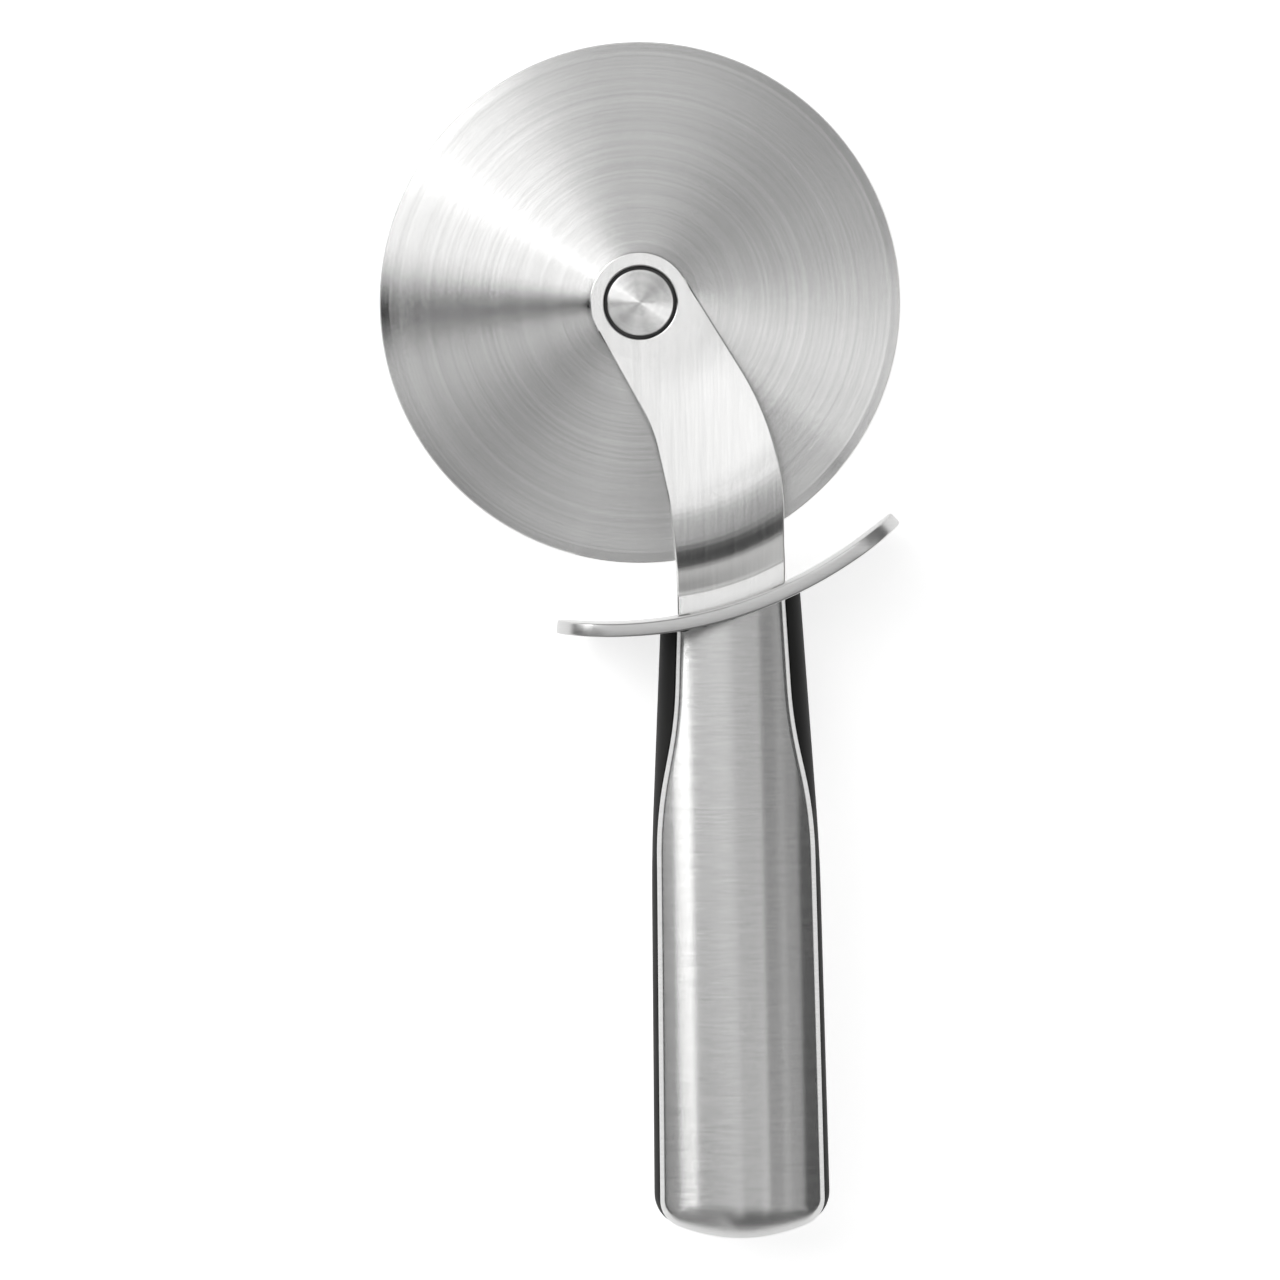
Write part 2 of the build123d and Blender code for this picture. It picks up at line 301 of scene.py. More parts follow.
def lathe(name: str, profile: Line, steps: int, angle: float = GRID_SMOOTHING) -> Object:
    """Turns a profile round the hub's axis.

    Args:
        name: The name of the piece.
        profile: Radii and heights over the blade's middle plane in millimetres, closed unless it
            starts on the axis.
        steps: How many steps the full turn has.
        angle: Smoothing angle in degrees.

    Returns:
        The turned piece.
    """
    points = [from_hub(r, 0.0, z) for r, z in profile]
    edges = [(i, i + 1) for i in range(len(points) - 1)]
    if profile[0][0] > 0:
        edges.append((len(points) - 1, 0))
    obj = mesh_object(name, points, edges)
    edit_all(obj, lambda: bpy.ops.mesh.spin(steps=steps, angle=2 * pi, center=HUB, axis=(0, 0, 1)))
    finish_mesh(obj, angle)
    return obj


class Nodes:
    """A short hand for building a tree of shader nodes."""

    def __init__(self, tree: bpy.types.NodeTree) -> None:
        """Empties the tree that is built in."""
        self.tree = tree
        self.tree.nodes.clear()

    def node(self, kind: str, values: Iterable[object] = (), **settings: object) -> bpy.types.Node:
        """Adds a node, sets its attributes and feeds its first inputs.

        Args:
            kind: Blender's name of the node type.
            values: Numbers, vectors or sockets, in the order of the node's inputs.
            settings: Attributes to set on it.

        Returns:
            The new node.
        """
        node = self.tree.nodes.new(kind)
        for key, value in settings.items():
            setattr(node, key, value)
        for socket, value in zip(node.inputs, values):
            self.feed(socket, value)
        return node

    def feed(self, socket: Socket, value: object) -> None:
        """Links a socket, or sets it where the value is plain.

        Args:
            socket: The input.
            value: A socket, a number or a tuple of numbers.
        """
        if isinstance(value, Socket):
            self.tree.links.new(value, socket)
        else:
            socket.default_value = value

    def math(self, operation: str, *values: object) -> Socket:
        """Adds a math node on numbers or sockets and gives its result."""
        return self.node("ShaderNodeMath", values, operation=operation).outputs[0]

    def vector(self, operation: str, *values: object) -> Socket:
        """Adds a vector math node and gives its vector result."""
        return self.node("ShaderNodeVectorMath", values, operation=operation).outputs[0]

    def measure(self, operation: str, *values: object) -> Socket:
        """Adds a vector math node and gives the number that it measures."""
        return self.node("ShaderNodeVectorMath", values, operation=operation).outputs["Value"]

    def combine(self, x: object, y: object, z: object) -> Socket:
        """Makes a vector from three numbers or sockets."""
        return self.node("ShaderNodeCombineXYZ", (x, y, z)).outputs[0]

    def split(self, vector: object) -> tuple[Socket, ...]:
        """Gives the three parts of a vector."""
        return tuple(self.node("ShaderNodeSeparateXYZ", (vector,)).outputs)

    def scaled(self, vector: object, factor: object) -> Socket:
        """Multiplies a vector, or a colour without alpha, by a number."""
        return self.vector("SCALE", vector, (0.0, 0.0, 0.0), (0.0, 0.0, 0.0), factor)

    def noise(self, vector: object, scale: float, detail: float = 2.0) -> Socket:
        """Adds a noise of some frequency and octaves and gives its value, mostly from 0.3 to 0.7."""
        return self.node("ShaderNodeTexNoise", (vector, 0.0, scale, detail)).outputs["Fac"]

    def ramp(self, value: object, low: float, high: float, to_low: float, to_high: float,
             soft: bool = False) -> Socket:
        """Maps one range to another, clamped at both ends, and eased there where it is soft."""
        return self.node("ShaderNodeMapRange", (value, low, high, to_low, to_high),
                         interpolation_type="SMOOTHSTEP" if soft else "LINEAR").outputs[0]

    def spread(self, noise: object, low: float, high: float) -> Socket:
        """Spreads a noise over a range of values."""
        return self.ramp(noise, 0.3, 0.7, low, high)


class Shader(Nodes):
    """One material's nodes, with a single surface shader."""

    def __init__(self, name: str) -> None:
        """Makes a node material with its surface shader and output.

        Args:
            name: The material's name.
        """
        self.material = bpy.data.materials.new(name)
        self.material.use_nodes = True
        super().__init__(self.material.node_tree)
        self.bsdf = self.node("ShaderNodeBsdfPrincipled")
        self.node("ShaderNodeOutputMaterial", (self.bsdf.outputs[0],))

    def place(self) -> Socket:
        """Gives the point on the piece, in its own coordinates."""
        return self.node("ShaderNodeTexCoord").outputs["Object"]

    def surface(self, colour: Socket, roughness: Socket) -> None:
        """Feeds the shader's colour and roughness."""
        self.feed(self.bsdf.inputs["Base Color"], colour)
        self.feed(self.bsdf.inputs["Roughness"], roughness)

    def bump(self, height: Socket, strength: float, distance: float) -> None:
        """Drives the surface normal by a height.

        Args:
            height: The height.
            strength: How much of the bump counts.
            distance: How deep a height of 1 is, in metres.
        """
        node = self.node("ShaderNodeBump", (strength, distance))
        self.feed(node.inputs["Height"], height)
        self.feed(self.bsdf.inputs["Normal"], node.outputs[0])

    def to_world(self, vector: object) -> Socket:
        """Turns a direction on the piece into the world's directions."""
        return self.node("ShaderNodeVectorTransform", (vector,), vector_type="VECTOR", convert_from="OBJECT",
                         convert_to="WORLD").outputs[0]


@dataclass(frozen=True)
class BrushedSteel:
    """Stainless steel with fine scratches that all run one way.

    The normal leans across the scratches by a white noise, which spreads the reflections that way
    as real brushing does, and by a small steady dish that sets where the highlights start.
    """

    name: str
    grain: Grain
    brightness: float
    spread: float
    roughness: float = 0.25
    anisotropy: float = 0.95
    dish: float = 0.0
    contrast: float = 0.04
    scratch: float = 3000.0
    stretch: float = 60.0
    turn_share: float = 0.012
    broad_scale: float = 0.3
    broad_weight: float = 0.3
    roughness_range: float = 0.06
    tint: Triple = (1.0, 0.998, 0.992)

    def directions(self, shader: Shader) -> tuple[object, Callable[[float], Socket]]:
        """Gives the direction across the scratches and a noise place stretched along them.

        Args:
            shader: The material that is being built.

        Returns:
            The direction across the scratches, and what gives a stretched place for a frequency.
        """
        x, y, z = shader.split(shader.vector("SUBTRACT", shader.place(), tuple(HUB)))
        if self.grain is Grain.ROUND:
            flat = shader.combine(x, y, 0.0)
            across = shader.vector("NORMALIZE", flat)
            east, north, _ = shader.split(across)
            turn = self.turn_share / self.stretch
            parts = ((shader.measure("LENGTH", flat), 1.0), (east, turn), (north, turn))
        elif self.grain is Grain.ACROSS:
            across = (0.0, 1.0, 0.0)
            parts = ((x, 1 / self.stretch), (y, 1.0), (z, 1 / self.stretch))
        else:
            across = (1.0, 0.0, 0.0)
            parts = ((x, 1.0), (y, 1 / self.stretch), (z, 1 / self.stretch))

        def stretched(frequency: float) -> Socket:
            """Scales the place by a frequency, and far less along the scratches."""
            return shader.combine(*(shader.math("MULTIPLY", part, frequency * share)
                                    for part, share in parts))

        return across, stretched

    def material(self) -> Material:
        """Builds the node material.

        Returns:
            The material.
        """
        shader = Shader(self.name)
        across, stretched = self.directions(shader)
        fine = shader.noise(stretched(self.scratch), 1.0, 1.0)
        broad = shader.noise(stretched(self.scratch * self.broad_scale), 1.0, 1.0)
        mixed = shader.math("MULTIPLY_ADD", broad, self.broad_weight,
                            shader.math("MULTIPLY", fine, 1 - self.broad_weight))
        tone, rough = (shader.spread(mixed, level * (1 - change), level * (1 + change))
                       for level, change in ((self.brightness, self.contrast),
                                             (self.roughness, self.roughness_range)))
        shader.surface(shader.scaled(self.tint, tone), rough)
        shader.feed(shader.bsdf.inputs["Metallic"], 1.0)
        shader.feed(shader.bsdf.inputs["Anisotropic"], self.anisotropy)
        way = shader.to_world(across)
        shader.feed(shader.bsdf.inputs["Tangent"], way)
        grains = shader.node("ShaderNodeTexWhiteNoise", (shader.place(),))
        first, second, _ = shader.split(grains.outputs["Color"])
        micro = shader.math("SUBTRACT", shader.math("ADD", first, second), 1.0)
        lean = shader.math("MULTIPLY_ADD", micro, self.spread, self.dish)
        face = shader.node("ShaderNodeNewGeometry").outputs["Normal"]
        normal = shader.vector("NORMALIZE", shader.vector("ADD", face, shader.scaled(way, lean)))
        shader.feed(shader.bsdf.inputs["Normal"], normal)
        return shader.material


@dataclass(frozen=True)
class Moulded:
    """Rubber or plastic with a mottle in its tone and a texture in its gloss and relief.

    A noise is given by its scale and octaves.
    """

    name: str
    colour: Triple
    roughness: float = 0.45
    tones: Point = (0.9, 1.1)
    gloss: Point = (-0.04, 0.04)
    mottle: Point = (400.0, 3.0)
    texture: Point = (400.0, 3.0)
    relief: float = 0.1
    depth: float = 2e-5
    specular: float = 0.5

    def material(self) -> Material:
        """Builds the node material.

        Returns:
            The material.
        """
        shader = Shader(self.name)
        broad, fine = (shader.noise(shader.place(), *noise) for noise in (self.mottle, self.texture))
        shader.surface(shader.scaled(self.colour, shader.spread(broad, *self.tones)),
                       shader.spread(fine, *(self.roughness + change for change in self.gloss)))
        shader.feed(shader.bsdf.inputs["Specular IOR Level"], self.specular)
        shader.bump(fine, self.relief, self.depth)
        return shader.material


def dress(obj: Object, *materials: Material) -> None:
    """Gives an object materials in place of all that it has.

    Args:
        obj: The object to dress.
        materials: Its materials, in the order of their indices.
    """
    obj.data.materials.clear()
    for material in materials:
        obj.data.materials.append(material)


class SubAssembly(ABC):
    """A part of the cutter that is built, dressed and carried by its body."""

    body: ClassVar[Body] = Body.FRAME
    slot: ClassVar[str]
    nodes: ClassVar[tuple[str, ...]]

    @abstractmethod
    def pieces(self) -> list[Object]:
        """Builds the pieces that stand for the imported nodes, in their order."""

    def gets_painted_shade(self, reach: float, height: float) -> bool:
        """Says whether a face gets painted shade, by its reach from the axle and height over the blade's
        plane.
        """
        return False

    def place(self, *materials: Material) -> None:
        """Builds the pieces, dresses them and rides them on their body.

        Args:
            materials: The steel, and the dark material that paints shade on faces in sunk places.
        """
        for piece, node in zip(self.pieces(), self.nodes):
            dress(piece, *materials)
            for face in piece.data.polygons:
                x, y, z = (face.center - HUB) / MM
                # Faces in sunk places get the second material, a dark grey painted as shade.
                face.material_index = int(self.gets_painted_shade(hypot(x, y), z))
            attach(piece, self.body.value)
            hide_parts(node)
            LOG.info("%s stands for %s on %s", piece.name, node, self.body.value)


@dataclass
class CutterWheel(SubAssembly):
    """The round blade, with a ground bevel and a fine honed edge. Sizes are millimetres."""

    body = Body.WHEEL
    slot = "blade_steel"
    nodes = ("cutting_blade",)
    radius: float = 50.8
    thickness: float = 1.0
    bevel: float = 1.9
    edge: float = 0.06
    hone: float = 0.25
    hone_height: float = 0.27
    bore: float = 4.5
    steps: int = 360
    smoothing: float = 6.0

    def pieces(self) -> list[Object]:
        """Turns the blade's section round the hub.

        Returns:
            The blade.
        """
        half, flat = self.thickness / 2, self.radius - self.bevel
        honed = self.radius - self.hone
        profile = [(self.bore, -half), (flat, -half), (honed, -self.hone_height),
                   (self.radius, -self.edge / 2), (self.radius, self.edge / 2),
                   (honed, self.hone_height), (flat, half), (self.bore, half)]
        return [lathe("blade_disc", profile, self.steps, self.smoothing)]


@dataclass
class AxlePin(SubAssembly):
    """The pin whose turned head shows in the arm's counterbore. Sizes are millimetres."""

    slot = "pin_steel"
    nodes = ("axle_pin",)
    head_radius: float = 6.45
    head_low: float = 3.1
    head_high: float = 5.0
    head_round: float = 0.2
    shank_radius: float = 3.0
    tip: float = -3.95
    tip_chamfer: float = 0.3
    steps: int = 144
    round_step: float = 15.0
    bright_side: float = 0.05

    def pieces(self) -> list[Object]:
        """Turns the pin's section round the hub.

        Returns:
            The pin.
        """
        corner = round_corners(
            [(0.0, self.head_high), (self.head_radius, self.head_high), (self.head_radius, self.head_low)],
            [self.head_round], self.round_step)
        shank = [(self.shank_radius, self.head_low), (self.shank_radius, self.tip + self.tip_chamfer),
                 (self.shank_radius - self.tip_chamfer, self.tip), (0.0, self.tip)]
        return [lathe("axle_head_and_shank", corner + shank, self.steps)]

    def gets_painted_shade(self, reach: float, height: float) -> bool:
        """Says whether a face is on the side of the head, below its bright round, where shade is painted."""
        return 0 < height < self.head_high - self.head_round - self.bright_side


@dataclass
class NeckArm(SubAssembly):
    """The bowed plate that carries the wheel on one side. Sizes are millimetres.

    In plan its places are a reach from the hub and an angle, because the plate's height depends on
    the reach alone and both its edges sweep round the hub.
    """

    slot = "arm_steel"
    nodes = ("neck_arm",)
    thickness: float = 3.0
    width: float = 21.1
    pad_radius: float = 9.9
    counterbore: float = 7.1
    counterbore_depth: float = 1.6
    bore: float = 3.05
    pad_rise: float = 4.7
    pad_reach: float = 16.2
    bow_angle: float = 7.0
    drop_angle: float = 32.0
    pad_bend: float = 80.0
    bow_bend: float = 30.0
    heel_bend: float = 2.0
    bend_step: float = 2.0
    crease_reach: float = 57.3
    heel_rise: float = 2.0
    sweep_radius: float = 55.0
    sweep_reach: float = 41.5
    sweep_steps: int = 40
    knee: Point = (1.9, -24.5)
    knee_bend: float = 30.0
    shoulder_reach: float = 44.5
    shoulder_bend: float = 110.0
    side_step: float = 0.5
    far: float = 90.0
    guard_face: float = 82.65
    chamfer: float = 0.3
    sharp: float = 50.0
    columns: int = 48
    eased_rows: int = 13
    eased_pitch: float = 0.02
    pitch: float = 0.8
    fine_reach: float = 38.0
    fine_pitch: float = 0.25
    heel_run: float = 2.5
    heel_rows: int = 24
    tang_width: float = 16.0
    tang_starts: Point = (-59.8, -55.2)
    tang_end: float = -117.3
    tang_ease: float = 0.01
    pin_reaches: Point = (-82.0, -110.0)
    pin_hole: float = 2.05
    hole_steps: int = 48
    hole_span: float = 5.0
    margin: float = 0.02

    def lines(self) -> tuple[Line, Line]:
        """Gives the front and rear lines of the plate's section.

        Returns:
            Both lines, as reach from the hub and height over the blade's middle plane.
        """
        bow, drop = tan(radians(self.bow_angle)), tan(radians(self.drop_angle))
        step = self.heel_rise - self.pad_rise
        knuckle = (step + drop * self.crease_reach + bow * self.pad_reach) / (bow + drop)
        front = [(0.0, self.pad_rise), (self.pad_reach, self.pad_rise),
                 (knuckle, self.pad_rise + bow * (knuckle - self.pad_reach)),
                 (self.crease_reach, self.heel_rise), (self.far, self.heel_rise)]
        turns = [atan2(b[1] - a[1], b[0] - a[0]) for a, b in zip(front, front[1:])]
        rear = [(0.0, self.pad_rise - self.thickness)]
        for corner, before, after in zip(front[1:], turns, turns[1:]):
            lean, half = (before + after) / 2, (after - before) / 2
            reach = self.thickness / cos(half)
            rear.append((corner[0] + reach * sin(lean), corner[1] - reach * cos(lean)))
        rear.append((self.far, self.heel_rise - self.thickness))
        wall = self.thickness
        return (round_corners(front, [self.pad_bend, self.bow_bend, self.heel_bend], self.bend_step),
                round_corners(rear, [self.pad_bend + wall, self.bow_bend - wall, self.heel_bend + wall],
                              self.bend_step))

    @staticmethod
    def height(line: Line, reach: float) -> float:
        """Reads a section line's height.

        Args:
            line: Reaches and heights.
            reach: The reach from the hub.

        Returns:
            The height there.
        """
        for (r0, z0), (r1, z1) in zip(line, line[1:]):
            if r0 <= reach <= r1:
                return z0 + (z1 - z0) * (reach - r0) / max(r1 - r0, 1e-9)
        return line[-1][1]

    def edges(self) -> tuple[Line, Line, float, float]:
        """Gives the edges in plan.

        Returns:
            The right edge, the left edge, and the angles where each of them leaves the pad.
        """
        half = self.width / 2
        right_x, left_x = HANDLE_OFFSET + half, HANDLE_OFFSET - half
        sweep = (right_x - self.sweep_radius, -self.sweep_reach)
        lean = atan2(-sweep[1], -sweep[0])
        outer = lean - acos((self.sweep_radius - self.pad_radius) / hypot(*sweep))
        right = [(self.pad_radius * cos(outer), self.pad_radius * sin(outer)),
                 *arc(sweep, self.sweep_radius, outer, 0.0, self.sweep_steps), (right_x, -self.far)]
        away = atan2(self.knee[1], self.knee[0])
        inner = away - acos(self.pad_radius / hypot(*self.knee))
        touch = (self.pad_radius * cos(inner), self.pad_radius * sin(inner))
        left = round_corners([touch, self.knee, (left_x, -self.shoulder_reach), (left_x, -self.far)],
                             [self.knee_bend, self.shoulder_bend], self.side_step)
        return right, left, outer, inner

    @staticmethod
    def meeting(line: Line, reach: float) -> float:
        """Finds where an edge lies at a reach from the hub.

        Args:
            line: The edge in plan.
            reach: The reach from the hub.

        Returns:
            The angle at which the edge has that reach.
        """
        for (x0, y0), (x1, y1) in zip(line, line[1:]):
            r0, r1 = hypot(x0, y0), hypot(x1, y1)
            if r0 - 1e-6 <= reach <= r1:
                run, lead = (x1 - x0)**2 + (y1 - y0)**2, x0 * (x1 - x0) + y0 * (y1 - y0)
                share = max((sqrt(lead * lead - run * (r0 * r0 - reach * reach)) - lead) / run, 0.0)
                return atan2(y0 + (y1 - y0) * share, x0 + (x1 - x0) * share)
        return atan2(line[-1][1], line[-1][0])

    def rows(self) -> list[Line]:
        """Lays the plate's grid in plan, from the pad's rim to the guard.

        Returns:
            Rows of reach and angle, each from right to left.
        """
        right, left, outer, inner = self.edges()
        shares = [i / self.columns for i in range(self.columns + 1)]
        grid = [[(self.pad_radius, outer + (inner - outer) * share) for share in shares]]
        reaches = [self.pad_radius + self.eased_pitch * k * k for k in range(1, self.eased_rows + 1)]
        last = self.crease_reach - self.heel_run
        while reaches[-1] < last:
            pitch = self.fine_pitch if reaches[-1] > self.fine_reach else self.pitch
            reaches.append(min(reaches[-1] + pitch, last))
        for reach in reaches:
            start, stop = self.meeting(right, reach), self.meeting(left, reach)
            grid.append([(reach, start + (stop - start) * share) for share in shares])
        final = grid[-1]
        ends = []
        for share in shares:
            x = HANDLE_OFFSET + self.width / 2 - self.width * share
            y = GUARD_CENTRE[1] - sqrt(self.guard_face**2 - (x - GUARD_CENTRE[0])**2)
            ends.append((hypot(x, y), atan2(y, x)))
        for k in range(1, self.heel_rows + 1):
            share = k / self.heel_rows
            grid.append([(a[0] + (b[0] - a[0]) * share, a[1] + (b[1] - a[1]) * share)
                         for a, b in zip(final, ends)])
        return grid

    def pad(self, mesh: BMesh, rim: Sequence[float]) -> tuple[Row, Row]:
        """Makes the round pad's faces, with its bore and counterbore.

        Args:
            mesh: The bmesh to build in.
            rim: The angles of the rim's vertices.

        Returns:
            The rim's vertices in front and at the rear.
        """
        top, low = self.pad_rise, self.pad_rise - self.thickness
        seat_height = top - self.counterbore_depth
        rings = []
        for reach, height in ((self.pad_radius, top), (self.pad_radius, low), (self.counterbore, top),
                              (self.counterbore, seat_height), (self.bore, seat_height), (self.bore, low)):
            rings.append([mesh.verts.new(from_hub(reach * cos(a), reach * sin(a), height)) for a in rim])
        for first, second in ((0, 2), (2, 3), (3, 4), (4, 5), (5, 1)):
            bridge(mesh, rings[first], rings[second], True)
        return rings[0], rings[1]

    def plate(self) -> Object:
        """Builds the plate as far as the guard, on its own grid so that every bend is smooth.

        Returns:
            The plate with broken edges.
        """
        grid = self.rows()
        outer, inner = grid[0][0][1], grid[0][-1][1]
        spare = [outer + (2 * pi - (outer - inner)) * i / self.columns for i in range(1, self.columns)]
        mesh = bmesh.new()
        loops = []
        pad_rims = self.pad(mesh, [angle for _, angle in grid[0]][::-1] + spare)
        for rim, line in zip(pad_rims, self.lines()):
            rows = [rim[:self.columns + 1][::-1]]
            for row in grid[1:]:
                rows.append([mesh.verts.new(from_hub(r * cos(a), r * sin(a), self.height(line, r)))
                             for r, a in row])
            for first, second in zip(rows, rows[1:]):
                bridge(mesh, first, second)
            around = [row[0] for row in rows] + rows[-1][1:-1] + [row[-1] for row in rows[::-1]]
            loops.append(around + rim[:self.columns:-1])
        bridge(mesh, *loops, True)
        arm = object_from(mesh, "arm_plate")
        finish_mesh(arm, GRID_SMOOTHING)
        add_modifier(arm, "BEVEL", width=self.chamfer * MM, segments=CHAMFER_STEPS, limit_method="ANGLE",
                     angle_limit=radians(self.sharp), use_clamp_overlap=False, miter_outer="MITER_ARC")
        smooth(PLATE_SMOOTHING)
        return arm

    def with_tang(self, arm: Object) -> Object:
        """Joins the tang that passes the guard into the handle, with its two pin holes.

        Args:
            arm: The plate as far as the guard.

        Returns:
            The whole arm.
        """
        left, right = HANDLE_OFFSET - self.tang_width / 2, HANDLE_OFFSET + self.tang_width / 2
        tang = prism("tang", [(left, self.tang_starts[0]), (left, self.tang_end), (right, self.tang_end),
                              (right, self.tang_starts[1])],
                     self.heel_rise - self.thickness + self.tang_ease, self.heel_rise - self.tang_ease)
        for reach in self.pin_reaches:
            ring = arc((HANDLE_OFFSET, reach), self.pin_hole, 0.0, 2 * pi, self.hole_steps)[:-1]
            join_or_cut(tang, prism("hole", ring, -self.hole_span, self.hole_span), "DIFFERENCE")
        join_or_cut(arm, tang, "UNION")
        return arm

    def pieces(self) -> list[Object]:
        """Builds the plate with its tang."""
        return [self.with_tang(self.plate())]

    def gets_painted_shade(self, reach: float, height: float) -> bool:
        """Says whether a face is in the counterbore, below its bright edge, where shade is painted."""
        return reach < self.counterbore + self.margin and height < self.pad_rise - self.chamfer - self.margin


@dataclass
class FingerGuard(SubAssembly):
    """The arc of plate between the wheel and the handle. Sizes are millimetres."""

    slot = "arm_steel"
    nodes = ("finger_guard",)
    thickness: float = 2.6
    depth: float = 24.0
    radius: float = 85.3
    turn: float = 16.7
    half_span: float = 24.4
    corner: float = 10.0
    corner_steps: int = 16
    chamfer: float = 0.35
    sharp: float = 60.0
    cuts: int = 72
    slot_sides: Point = (8.6, 24.8)
    slot_reaches: Point = (-75.0, -40.0)
    slot_heights: Point = (-1.1, 2.1)

    @staticmethod
    def bevel(plate: Object, wanted: Callable[[bmesh.types.BMEdge], bool], offset: float,
              segments: int) -> None:
        """Bevels some edges of the plate, in edit mode.

        Args:
            plate: The plate.
            wanted: Says whether an edge is bevelled.
            offset: The bevel's width.
            segments: Its number of steps.
        """
        bpy.ops.mesh.select_all(action="DESELECT")
        mesh = bmesh.from_edit_mesh(plate.data)
        for edge in mesh.edges:
            edge.select = wanted(edge)
        bmesh.update_edit_mesh(plate.data)
        bpy.ops.mesh.bevel(offset=offset * MM, segments=segments, affect="EDGES")

    def stands_across(self, edge: bmesh.types.BMEdge) -> bool:
        """Says whether an edge of the flat plate runs through its thickness."""
        run = edge.verts[0].co - edge.verts[1].co
        return abs(run.y) > 0.9 * self.thickness * MM and abs(run.x) + abs(run.z) < 1e-6

    def is_sharp(self, edge: bmesh.types.BMEdge) -> bool:
        """Says whether an edge is a sharp one."""
        return len(edge.link_faces) == 2 and edge.calc_face_angle() > radians(self.sharp)

    def pieces(self) -> list[Object]:
        """Shapes a flat plate with round corners and broken edges, bends it and cuts its slot.

        Returns:
            The guard.
        """
        middle = self.radius - self.thickness / 2
        length = 2 * radians(self.half_span) * middle
        activate(None)
        bpy.ops.mesh.primitive_cube_add(size=1.0, location=(0, 0, 0))
        plate = bpy.context.object
        plate.name = "guard_plate"
        plate.data.name = "guard_plate"
        plate.scale = (length * MM, self.thickness * MM, self.depth * MM)
        bpy.ops.object.transform_apply(location=False, rotation=False, scale=True)
        bpy.ops.object.mode_set(mode="EDIT")
        bpy.ops.mesh.select_mode(type="EDGE")
        self.bevel(plate, self.stands_across, self.corner, self.corner_steps)
        self.bevel(plate, self.is_sharp, self.chamfer, CHAMFER_STEPS)
        for i in range(1, self.cuts):
            bpy.ops.mesh.select_all(action="SELECT")
            bpy.ops.mesh.bisect(plane_co=((i / self.cuts - 0.5) * length * MM, 0, 0), plane_no=(1, 0, 0))
        bpy.ops.object.mode_set(mode="OBJECT")
        for vert in plate.data.vertices:
            angle = radians(self.turn - 90) + vert.co.x / (middle * MM)
            reach = (middle * MM) - vert.co.y
            vert.co = Vector((HUB.x + GUARD_CENTRE[0] * MM + reach * cos(angle),
                              HUB.y + GUARD_CENTRE[1] * MM + reach * sin(angle), HUB.z + vert.co.z))
        finish_mesh(plate, PLATE_SMOOTHING)
        (left, right), (far, near) = self.slot_sides, self.slot_reaches
        slot = prism("slot", [(left, far), (right, far), (right, near), (left, near)], *self.slot_heights)
        join_or_cut(plate, slot, "DIFFERENCE")
        return [plate]


